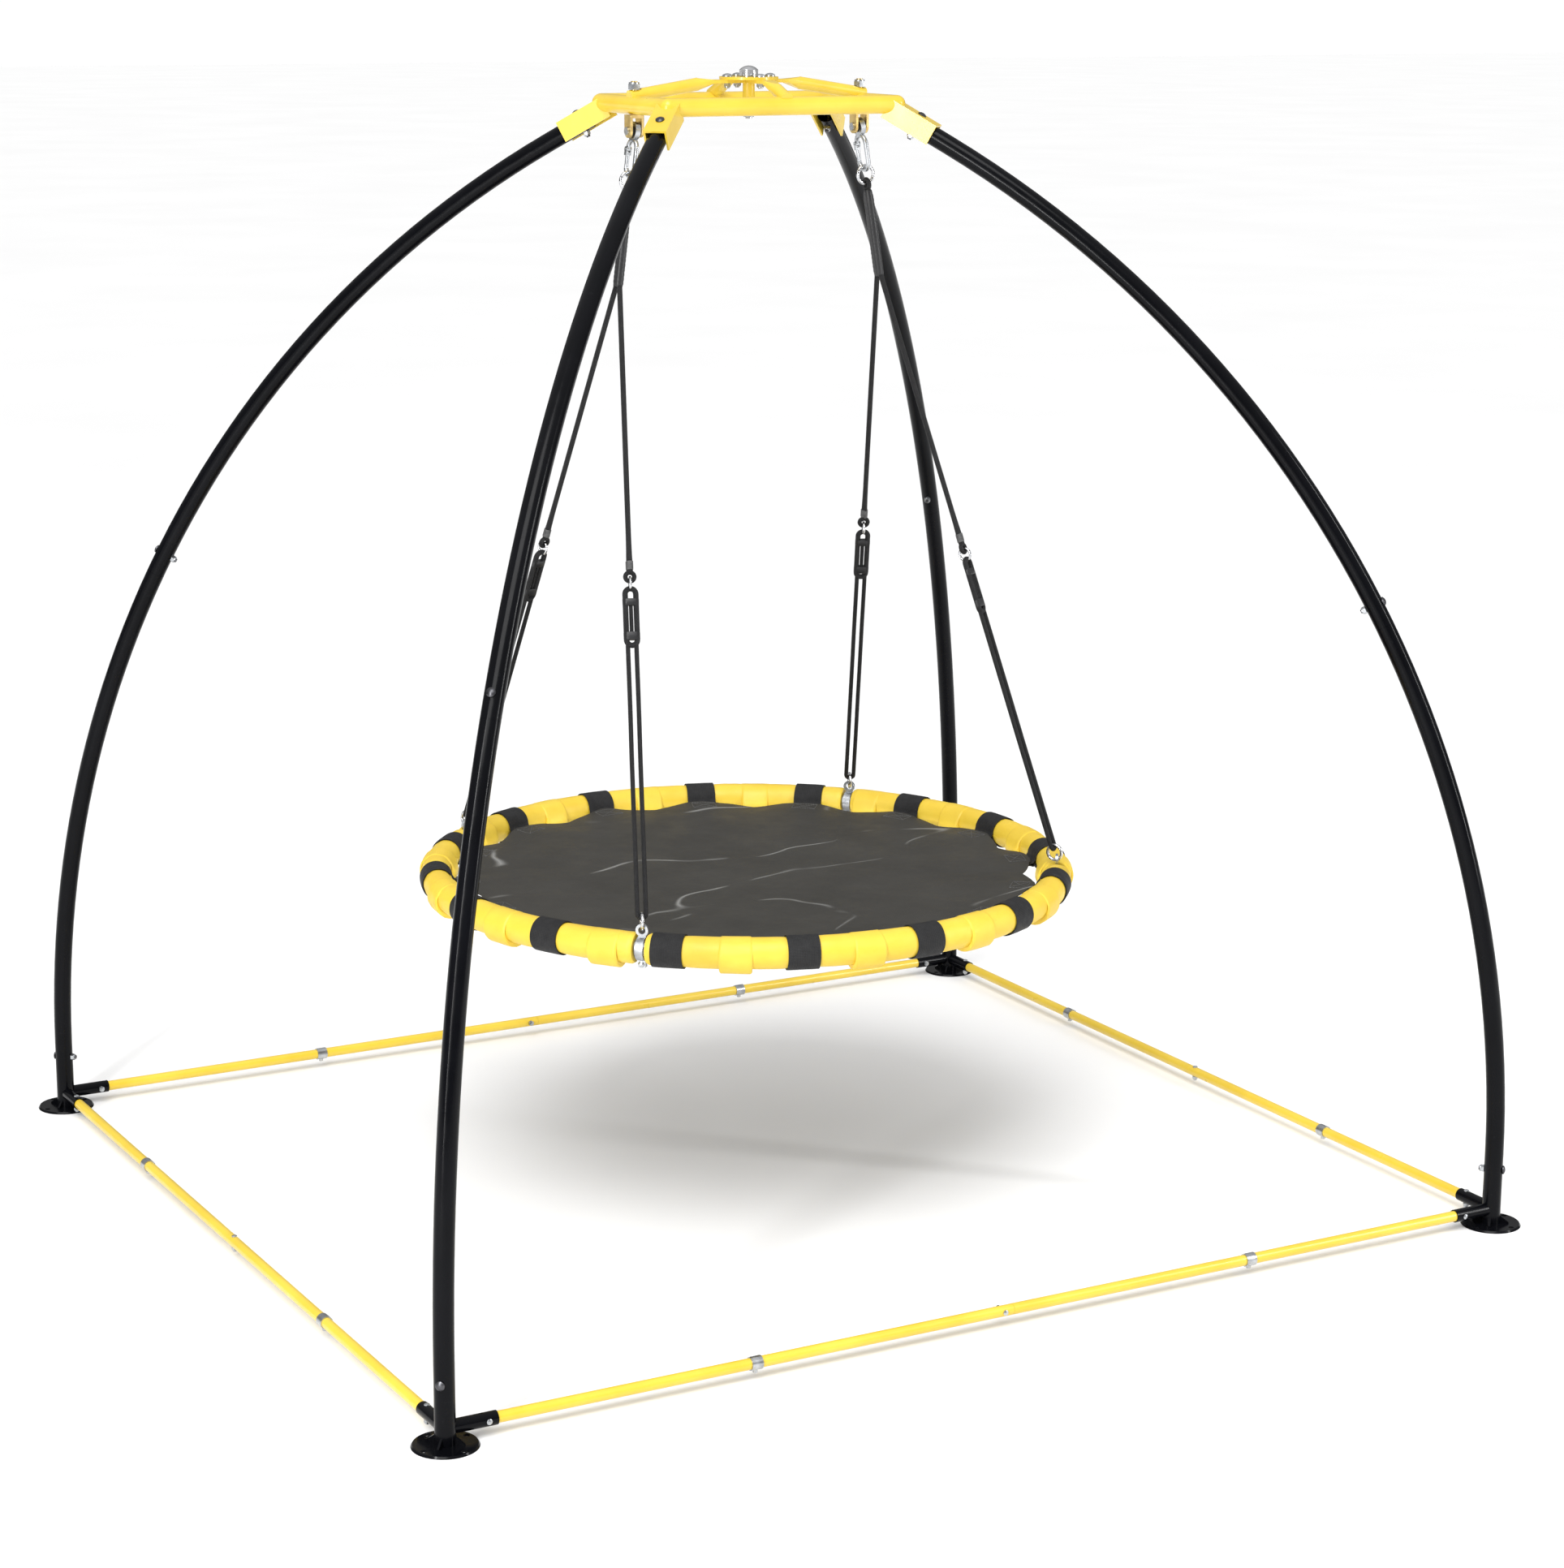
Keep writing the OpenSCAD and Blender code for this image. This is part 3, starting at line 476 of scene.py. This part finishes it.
# ---- foam on the rim ----
FOAM_R, FOAM_BORE_R = 0.023, 0.0130
FOAM_GAP = 1.1                             # degrees left free on each side of a clamp
STRAP_SQUEEZE = 0.0011                     # how far a strap presses into the foam
COLLAR_R, COLLAR_BORE_R = 0.0268, 0.0232
COLLAR_HALF = 0.023                        # half length of a collar
COLLAR_DROP = 0.0034                       # how far a collar hangs below the rim's middle
COLLAR_LIP = 0.0065                        # how far its inner side stands out towards the mat
COLLAR_SLIT = math.radians(205)            # where its slit is, round the section
CLAMP_ROOM, CLAMP_SHIFT = 4.5, 1.2         # a collar this near to a clamp is shifted this far, in degrees
FOAM_ENDS = [CLAMP_A[0], CLAMP_A[3], CLAMP_A[2], CLAMP_A[1], CLAMP_A[0] + 360]
STRAP_AT = [STRAP_PHASE + 360 / STRAPS * i for i in range(STRAPS)]


def turned(a, b):
    return (a - b + 540) % 360 - 180


def rim_point(a, phi, r, drop=0.0):
    """Point round the rim's section: a round the rim in degrees, phi round the section, r from its middle."""
    q = math.radians(a)
    out = RIM_R + r * math.cos(phi)
    return Vector((out * math.cos(q), out * math.sin(q), RIM_Z - drop + r * math.sin(phi)))


def foam_sleeve(i):
    a0, a1 = FOAM_ENDS[i] + FOAM_GAP, FOAM_ENDS[i + 1] - FOAM_GAP
    n = int((a1 - a0) / 0.45) + 1
    rows, sides = [], 36
    for k in range(n):
        a = a0 + (a1 - a0) * k / (n - 1)
        near = min(abs(turned(a, s)) for s in STRAP_AT) * math.radians(1) * RIM_R
        squeeze = STRAP_SQUEEZE * math.exp(-(near / 0.026) ** 4)
        end = min(a - a0, a1 - a) * math.radians(1) * RIM_R
        row = []
        for j in range(sides):
            phi = 2 * math.pi * j / sides
            r = FOAM_R - squeeze - 0.0022 * max(0, 1 - end / 0.003) ** 2
            p = rim_point(a, phi, 1.0)
            r += 0.0005 * noise.noise(p * 14) + 0.00025 * noise.noise(p * 55)
            row.append(rim_point(a, phi, r))
        rows.append(row)
    inner = []
    for k in [n - 1, *range(n - 4, 2, -8), 0]:
        a = a0 + (a1 - a0) * k / (n - 1)
        inner.append([rim_point(a, 2 * math.pi * j / sides, FOAM_BORE_R) for j in range(sides)])
    s = Shape()
    s.grid(rows + inner, True)
    obj = s.make(f"foam_sleeve_{i + 1}", FOAM, "swing", 55)
    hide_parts("foam_sleeves")


def collar_angle(i):
    mid = STRAP_PHASE + (i + 0.5) * 360 / STRAPS
    for c in CLAMP_A:
        off = turned(mid, c)
        if abs(off) < CLAMP_ROOM:
            return mid + math.copysign(CLAMP_SHIFT, off)
    return mid


def foam_collar(i):
    """Short thick sleeve of foam over the joint of the rim, hanging a little low, with a slit inside."""
    mid, half = collar_angle(i), math.degrees(COLLAR_HALF / RIM_R)
    n, sides = 22, 40
    rows = []
    lift = random.uniform(-0.0004, 0.0004)
    for k in range(n):
        t = -1 + 2 * k / (n - 1)
        a = mid + half * math.copysign(abs(t) ** 0.8, t)
        edge = max(0.0, 1 - (1 - abs(t)) * half * math.radians(1) * RIM_R / 0.003)
        row = []
        for j in range(sides):
            phi = 2 * math.pi * j / sides
            r = COLLAR_R - 0.0022 * edge ** 2
            slit = abs((phi - COLLAR_SLIT + math.pi) % (2 * math.pi) - math.pi)
            r -= 0.0011 * math.exp(-(slit * 0.027 / 0.0013) ** 2)
            r += COLLAR_LIP * math.exp(-(slit / 0.55) ** 2) * max(0.0, 1 - t * t) ** 0.5
            r += 0.0006 * noise.noise(rim_point(a, phi, 1.0) * 17)
            row.append(rim_point(a, phi, r, COLLAR_DROP + lift))
        rows.append(row)
    inner = [[rim_point(mid + half * t, 2 * math.pi * j / sides, COLLAR_BORE_R) for j in range(sides)]
             for t in (0.97, -0.97)]
    s = Shape()
    s.grid(rows + inner, True)
    obj = s.make(f"foam_collar_{i + 1:02d}", FOAM, "swing", 55)
    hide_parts("foam_collars")


for i in range(4):
    foam_sleeve(i)
for i in range(STRAPS):
    foam_collar(i)

# ---- mat ----
MAT_Z, MAT_T = 0.4790, 0.0015
MAT_R = 0.448
TAB_FLARE = 0.0055                         # how far the edge is drawn out at a strap
SCALLOP = 0.019                            # how deep the edge lies between straps


def mat_edge(a):
    """Distance from the axis to the mat's edge: out at the straps, in between them."""
    t = abs(turned(a, min(STRAP_AT, key=lambda s: abs(turned(a, s))))) / (180 / STRAPS)
    bay = int(((a - STRAP_PHASE) % 360) // (360 / STRAPS))
    depth = SCALLOP + 0.007 * noise.noise(Vector((bay * 3.1, 0.7, 0)))
    flare = TAB_FLARE * max(0.0, 1 - t / 0.30) ** 0.5
    return MAT_R + flare - depth * max(0.0, (t - 0.25) / 0.75) ** 1.3


def mat_height(x, y):
    """Height of the mat's underside over MAT_Z: slack middle, pulled edge, soft crumples."""
    r = math.hypot(x, y)
    a = math.degrees(math.atan2(y, x))
    rim = min(1.0, r / MAT_R)
    pull = 0.0022 * rim ** 5 * math.cos(math.radians((a - STRAP_PHASE) * STRAPS))
    p = Vector((x, y, 0))
    crumple = 0.0024 * noise.noise(p * 4.5) + 0.0012 * (1 - abs(noise.noise(p * 9 + Vector((4, 2, 0)))) * 3)
    ray = 0.0012 * rim ** 3 * math.sin(math.radians(a * 41)) * max(0, noise.noise(Vector((a * 0.11, 0.3, 1))))
    q = math.radians(a)
    ripple = noise.noise(Vector((math.cos(q) * 9, math.sin(q) * 9, 2)))
    edge = 0.0035 * max(0, (rim - 0.93) / 0.07) ** 2 * ripple
    return -0.004 * (1 - rim ** 2) + pull + crumple * (1 - 0.75 * rim ** 6) + ray + edge


def make_mat():
    around, out = 480, 74
    verts, faces, uvs = [], [], []
    for side in (0, 1):
        verts.append(Vector((0, 0, MAT_Z + mat_height(0, 0) + MAT_T * side)))
        for i in range(1, out + 1):
            for j in range(around):
                a = 360 * j / around
                share = i / out
                r = mat_edge(a) * i / out
                if share <= 0.8:
                    r = MAT_R * i / out + (mat_edge(a) - MAT_R) * i / out * (share / 0.8) ** 4
                x, y = r * math.cos(math.radians(a)), r * math.sin(math.radians(a))
                verts.append(Vector((x, y, MAT_Z + mat_height(x, y) + MAT_T * side)))
    half = 1 + out * around

    def put(face):
        faces.append(face)
        uvs.append([(verts[v].x, verts[v].y) for v in face])

    for side in (0, 1):
        base = side * half
        for j in range(around):
            a, b = base + 1 + j, base + 1 + (j + 1) % around
            put((base, a, b) if side else (base, b, a))
        for i in range(out - 1):
            for j in range(around):
                a, b = base + 1 + i * around + j, base + 1 + i * around + (j + 1) % around
                c, d = a + around, b + around
                put((a, c, d, b) if side else (a, b, d, c))
    for j in range(around):
        a = 1 + (out - 1) * around + j
        b = 1 + (out - 1) * around + (j + 1) % around
        put((a, b, b + half, a + half))
    obj = build("mat_sheet", verts, faces, uvs, MAT, "swing", 60)
    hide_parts("mat")
    return obj


# ---- straps ----
STRAP_HALF_T = 0.0009
STRAP_LINE_R = 0.0243                      # of the strap's middle round the foam
END_POINTS = 6                             # points of the strap's line under the mat, at each end


def strap_path():
    """The strap's line in the plane through the axis: distance from the axis and height."""
    line = []
    for t in range(END_POINTS):
        line.append((0.4160 + 0.0320 * t / 5, MAT_Z - 0.0016 - 0.0002 * math.sin(t)))
    line.append((0.4535, MAT_Z - 0.0006))
    for q in range(176, -170, -8):
        w = math.radians(q)
        line.append((RIM_R + STRAP_LINE_R * math.cos(w), RIM_Z + STRAP_LINE_R * math.sin(w)))
    line.append((0.4545, MAT_Z - 0.0062))
    for t in range(END_POINTS):
        line.append((0.4490 - 0.0330 * t / 5, MAT_Z - 0.0042 - 0.0003 * math.sin(t + 1)))
    return line


def make_strap(i):
    """One length of webbing round the foam, with both ends sewn under the mat's edge."""
    line = strap_path()
    q = math.radians(STRAP_AT[i])
    out, side = Vector((math.cos(q), math.sin(q), 0)), Vector((-math.sin(q), math.cos(q), 0))
    lean = random.uniform(-0.0018, 0.0018)
    n = len(line)
    widths = [-1.0, -0.985, -0.9, -0.6, -0.3, 0.0, 0.3, 0.6, 0.9, 0.985, 1.0]
    rows = []
    for k, (r, z) in enumerate(line):
        a, b = line[max(0, k - 1)], line[min(n - 1, k + 1)]
        d = Vector((b[0] - a[0], b[1] - a[1])).normalized()
        normal = (out * -d.y + Vector((0, 0, 1)) * d.x)
        on_foam = 1.0 if END_POINTS < k < n - END_POINTS - 1 else 0.0
        top, under = [], []
        for w in widths:
            y = w * STRAP_W / 2
            sag = (math.sqrt(RIM_R ** 2 - y * y) - RIM_R) * on_foam
            p = out * (r + sag) + side * (y + lean * on_foam) + Vector((0, 0, z))
            p += normal * 0.0003 * noise.noise(p * 60)
            h = STRAP_HALF_T * (0.45 if abs(w) == 1 else 1.0)
            top.append(p + normal * h)
            under.append(p - normal * h)
        rows.append(top + under[::-1])
    cols = len(rows[0])
    run = [0.0]
    for k in range(1, n):
        run.append(run[-1] + math.dist(line[k], line[k - 1]))
    spread = [w * STRAP_W / 2 for w in widths] + [w * STRAP_W / 2 for w in widths[::-1]]
    verts = [v for r in rows for v in r]
    faces, uvs = grid_faces(n, cols, False, True, lambda a, b: (spread[b % cols], run[a]))
    faces.append(tuple(range(cols - 1, -1, -1)))
    uvs.append([(spread[j], 0) for j in range(cols - 1, -1, -1)])
    last = (n - 1) * cols
    faces.append(tuple(range(last, last + cols)))
    uvs.append([(spread[j], run[-1]) for j in range(cols)])
    faces = [tuple(reversed(f)) for f in faces]
    uvs = [list(reversed(u)) for u in uvs]
    obj = build(f"strap_{i + 1:02d}", verts, faces, uvs, WEBBING, "swing", 50)
    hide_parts("mat_straps")
    return out, side


def make_stitching(spots):
    """A sewn box with a cross over each strap's end, as short raised stitches on the mat."""
    s = Shape()
    z = MAT_Z + 0.0016
    r0, r1, h = 0.417, 0.444, 0.0195
    for out, side in spots:
        corners = [(r0, -h), (r0, h), (r1, h), (r1, -h), (r0, -h)]
        runs = list(zip(corners, corners[1:])) + [((r0, -h), (r1, h)), ((r0, h), (r1, -h))]
        for a, b in runs:
            n = max(3, int(math.dist(a, b) / 0.0042))
            for k in range(n):
                t0, t1 = (k + 0.15) / n, (k + 0.85) / n
                p = [out * (a[0] + (b[0] - a[0]) * t) + side * (a[1] + (b[1] - a[1]) * t)
                     for t in (t0, t1)]
                p = [q + Vector((0, 0, z + mat_height(q.x, q.y))) for q in p]
                s.tube([p[0], (p[0] + p[1]) / 2 + Vector((0, 0, 0.0002)), p[1]], 0.00045, 5)
    s.make("strap_stitches", THREAD, "swing")


mat_obj = make_mat()
spots = [make_strap(i) for i in range(STRAPS)]
make_stitching(spots)

# ---- ropes ----
UPPER_ROPE_R, ROPE_R = 0.0040, 0.0034      # of an upper rope, and of eyes and lower ropes
EYE_R = 0.0065                             # of an eye, to its rope's middle
EYE_Z = 0.009 - 0.002 - 0.0001 + EYE_R - 0.0035
ADJUSTER_TOP, ADJUSTER_LEN = -0.0034, 0.092
WHIPPING_TURNS, WHIPPING_R, WHIPPING_PITCH = 9, 0.0050, 0.0014
LEG_GAP = 0.0062                           # half distance between a lower rope's two legs


def circle(n):
    return (2 * math.pi * i / n for i in range(n))


def half_circle(n):
    return (math.pi * i / n for i in range(n + 1))


def make_upper_rope(k):
    """Rope from the parting down to its spliced eye on the link ring, with a whipping above the eye."""
    place = rope_frame(k, LINK_AT)
    s = Shape()
    eye = [place @ Vector((0, EYE_R * math.cos(q), EYE_Z + EYE_R * math.sin(q))) for q in circle(40)]
    s.tube(eye, ROPE_R, 14, closed=True)
    top = LINK_AT - 0.004
    pts = along(place @ Vector((0, 0, EYE_Z + EYE_R + 0.001)), place @ Vector((0, 0, top)), 0.006)
    radii = [UPPER_ROPE_R + 0.0009 * math.exp(-(i * 0.006 / 0.03) ** 2) for i in range(len(pts))]
    s.tube(pts, radii, 16)
    obj = s.make(f"rope_upper_{ROPE_NAMES[k]}", ROPE, "swing")
    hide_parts(f"upper_rope_{ROPE_NAMES[k]}")
    w = Shape()
    z0 = EYE_Z + EYE_R + 0.004
    winding = []
    for i in range(WHIPPING_TURNS * 16 + 1):
        q = math.pi / 8 * i
        z = z0 + WHIPPING_PITCH * q / (2 * math.pi)
        winding.append(place @ Vector((WHIPPING_R * math.cos(q), WHIPPING_R * math.sin(q), z)))
    w.tube(winding, 0.0008, 6)
    w.make(f"rope_whipping_{ROPE_NAMES[k]}", THREAD, "swing")


def make_adjuster(k):
    """Flat loop of folded rope that shortens the hanger, bound near both ends."""
    place = rope_frame(k, LINK_AT)
    name = ROPE_NAMES[k]
    half, r = 0.0078, 0.0041
    top, low = ADJUSTER_TOP - 0.0122 + 0.0002, ADJUSTER_TOP - ADJUSTER_LEN + 0.012
    path = [Vector((0, half * math.cos(q), top + half * math.sin(q))) for q in half_circle(14)]
    path += [Vector((0, -half, top + (low - top) * i / 10)) for i in range(1, 10)]
    path += [Vector((0, -half * math.cos(q), low - half * math.sin(q))) for q in half_circle(14)]
    path += [Vector((0, half, low + (top - low) * i / 10)) for i in range(1, 10)]
    s = Shape()
    s.tube([place @ p for p in path], r, 14, closed=True)
    middle = along(place @ Vector((0, 0, top - 0.016)), place @ Vector((0, 0, low + 0.010)), 0.006)
    s.tube(middle, 0.0030, 12)
    obj = s.make(f"rope_loop_{name}", ROPE, "swing")
    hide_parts("rope_adjusters")
    b = Shape()
    for z, h in ((top - 0.012, 0.010), (low + 0.006, 0.012)):
        rings = []
        for t in (0, 0.12, 0.5, 0.88, 1):
            grow = 0.0006 if t in (0, 1) else 0.0
            ring = []
            for q in circle(28):
                x = (0.0046 - grow) * math.copysign(abs(math.sin(q)) ** 0.75, math.sin(q))
                y = (0.0121 - grow) * math.copysign(abs(math.cos(q)) ** 0.75, math.cos(q))
                ring.append(place @ Vector((x, y, z - h / 2 + h * t)))
            rings.append(ring)
        b.grid(rings, False)
    b.make(f"loop_bands_{name}", SLEEVE, "swing")


def make_lower_rope(k):
    """Doubled rope under the loop: down, round the rim ring's wire, and back up."""
    down = rope_length(k) - RIM_RING_UP - 2 * RIM_RING_R
    place = rope_frame(k, down)
    tall = down - LINK_AT + ADJUSTER_TOP - ADJUSTER_LEN + 0.004
    y = LEG_GAP
    path = [Vector((0, -y, tall * (1 - i / 40))) for i in range(40)]
    path += [Vector((0, -y * math.cos(q), -y * math.sin(q))) for q in half_circle(16)]
    path += [Vector((0, y, tall * (i + 1) / 40)) for i in range(40)]
    s = Shape()
    pts = [place @ p for p in path]
    pts = [p + wobble(p, 9, 0.0003) for p in pts]
    s.tube(pts, ROPE_R, 14)
    obj = s.make(f"rope_lower_{ROPE_NAMES[k]}", ROPE, "swing")
    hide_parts(f"lower_rope_{ROPE_NAMES[k]}")


for k in range(4):
    make_upper_rope(k)
    make_adjuster(k)
    make_lower_rope(k)

RING_AT = 0.0729                           # from the hanger pin down to the top ring
EYE_AT = RING_AT + 0.0135 + 0.0009
SLEEVE_EYE_R = 0.007


def make_sleeve(s):
    """The two ropes bound side by side in a shrunk sleeve, with their eye round the top ring."""
    place = hook_frame(s)
    side = "left" if s < 0 else "right"
    end = (PIN_Z - SPLIT_Z) / math.cos(LEAN[s])
    eye = Shape()
    loop = [place @ Vector((0, SLEEVE_EYE_R * math.cos(q), -EYE_AT + SLEEVE_EYE_R * math.sin(q)))
            for q in circle(40)]
    eye.tube(loop, ROPE_R, 14, closed=True)
    obj = eye.make(f"sleeve_eye_{side}", ROPE, "swing")
    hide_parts(f"rope_sleeve_{side}")
    body = Shape()
    z0, z1 = -(EYE_AT + 0.0085), -(end + 0.004)
    rings = []
    n = 60
    for i in range(n):
        t = i / (n - 1)
        z = z0 + (z1 - z0) * t
        grow = min(1.0, t * 9) ** 0.5
        wide = (0.0055 + 0.0029 * grow) * (1 - 0.10 * max(0, (t - 0.93) / 0.07) ** 2)
        ring = []
        for q in circle(28):
            waist = 1 - 0.17 * abs(math.sin(q)) ** 6 * grow
            r = wide * waist * (0.90 + 0.10 * abs(math.cos(q)))
            ripple = 0.00018 * math.sin(t * 120 + 2 * math.cos(q))
            ring.append(place @ Vector(((r + ripple) * math.sin(q), (r + ripple) * math.cos(q), z)))
        rings.append(ring)
    body.grid(rings, False)
    obj = body.make(f"rope_sleeve_skin_{side}", SLEEVE, "swing")
    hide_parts(f"rope_sleeve_{side}")


for s in (-1, 1):
    make_sleeve(s)

# ---- floor and light ----
FLOOR_HALF, FLOOR_Z = 60.0, -0.0004


def make_floor():
    mesh = bpy.data.meshes.new("floor")
    corners = ((-1, -1), (1, -1), (1, 1), (-1, 1))
    mesh.from_pydata([(x * FLOOR_HALF, y * FLOOR_HALF, FLOOR_Z) for x, y in corners], [], [(0, 1, 2, 3)])
    floor = bpy.data.objects.new("floor", mesh)
    bpy.context.scene.collection.objects.link(floor)
    m, t, b = start("floor")
    tone = ramp(t, fractal(t, coords(t), 0.8), [(0.3, (0.90, 0.90, 0.90)), (0.7, (0.93, 0.93, 0.93))])
    t.links.new(tone, b.inputs["Base Color"])
    b.inputs["Roughness"].default_value = 0.9
    b.inputs["Specular IOR Level"].default_value = 0.1
    mesh.materials.append(m)


make_floor()


def area_light(name, at, aim, width, height, power):
    light = bpy.data.lights.new(name, "AREA")
    light.shape = "RECTANGLE"
    light.size, light.size_y = width, height
    light.energy = power
    obj = bpy.data.objects.new(name, light)
    bpy.context.scene.collection.objects.link(obj)
    obj.location = at
    obj.rotation_mode = "QUATERNION"
    obj.rotation_quaternion = (Vector(aim) - Vector(at)).to_track_quat("-Z", "Y")


def make_world():
    """Even white backdrop, with a dimmer surround for the light that reaches the object."""
    world = bpy.data.worlds.new("studio")
    bpy.context.scene.world = world
    world.use_nodes = True
    t = world.node_tree
    background = t.nodes["Background"]
    background.inputs["Color"].default_value = (1, 1, 1, 1)
    ray = add(t, "ShaderNodeLightPath")
    axes = add(t, "ShaderNodeSeparateXYZ")
    t.links.new(add(t, "ShaderNodeTexCoord").outputs["Generated"], axes.inputs["Vector"])
    dome = to_range(t, axes.outputs["Z"], SURROUND, OVERHEAD, 0.05, 0.95)
    mix = add(t, "ShaderNodeMix")
    t.links.new(ray.outputs["Is Camera Ray"], mix.inputs["Factor"])
    t.links.new(dome, mix.inputs["A"])
    mix.inputs["B"].default_value = BACKDROP
    t.links.new(mix.outputs["Result"], background.inputs["Strength"])


def sun(aim, strength, spread):
    """Broad light from far away, so that the floor is evenly lit."""
    light = bpy.data.lights.new("sun", "SUN")
    light.energy = strength
    light.angle = math.radians(spread)
    obj = bpy.data.objects.new("sun", light)
    bpy.context.scene.collection.objects.link(obj)
    obj.rotation_mode = "QUATERNION"
    obj.rotation_quaternion = Vector(aim).to_track_quat("-Z", "Y")


# Strength of the surround at the horizon, of the same overhead, and of the backdrop that the camera sees
SURROUND, OVERHEAD, BACKDROP = 0.13, 0.80, 1.02
LIGHT_AIM = (0, 0, 0.9)
make_world()
sun((0.42, 0.50, -1.0), 1.95, 38)
area_light("left_strip", (-3.6, -2.4, 1.9), LIGHT_AIM, 0.3, 3.2, 110)
area_light("right_strip", (3.4, -3.4, 2.2), LIGHT_AIM, 0.25, 3.2, 90)
bpy.context.scene.view_settings.view_transform = "Standard"
